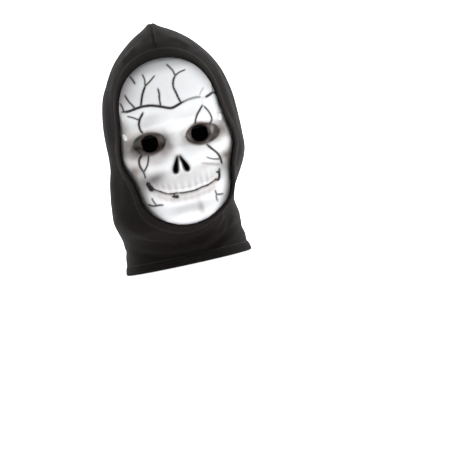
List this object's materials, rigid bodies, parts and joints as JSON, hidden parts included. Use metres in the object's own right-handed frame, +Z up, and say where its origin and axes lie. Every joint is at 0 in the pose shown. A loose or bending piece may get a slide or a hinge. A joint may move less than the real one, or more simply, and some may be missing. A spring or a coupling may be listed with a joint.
{
  "type": "hooded skull mask",
  "caption": "Moulded latex skull face shell with open eye holes on an elastic strap, worn inside a black stretch hood with a peaked crown and a neck cowl.",
  "frame": {"origin": "midway between the wearer's ears, at eye level", "axes": "+Z up to the peak of the hood, the face looks along -Y, +X to the right when facing the mask"},
  "size_m": [0.1692, 0.2223, 0.2954],
  "materials": {
    "latex": "satin",
    "jersey": "matte",
    "jersey_band": "matte",
    "tape": "matte",
    "elastic": "matte",
    "rivet_metal": "satin",
    "washer_plastic": "matte",
    "foam": "matte"
  },
  "bodies": {
    "hood_base": {"hood_side_right": "jersey", "hood_side_left": "jersey", "neck_cowl": "jersey", "bottom_hem": "jersey_band", "opening_band_lower": "jersey_band", "nape_seam_tape": "tape"},
    "hood_crown": {"hood_crown_right": "jersey", "hood_crown_left": "jersey", "opening_band_upper": "jersey_band", "crown_seam_tape": "tape"},
    "face_mask": {"face_shell": "latex", "brow_pad": "foam", "elastic_strap": "elastic", "rivet_right": "rivet_metal", "rivet_left": "rivet_metal", "washer_right": "washer_plastic", "washer_left": "washer_plastic"}
  },
  "joints": [
    {"name": "hood_fold_back", "type": "hinge", "parent": "hood_base", "child": "hood_crown", "pos_m": [0, 0.097, -0.07], "axis": [-1, 0, 0], "range_deg": [0, 85]},
    {"name": "mask_pull_forward", "type": "slide", "parent": "hood_base", "child": "face_mask", "axis": [0, -1, 0], "range_m": [0, 0.06], "stiffness_N_per_m": 50, "deforming": ["elastic_strap"]}
  ]
}
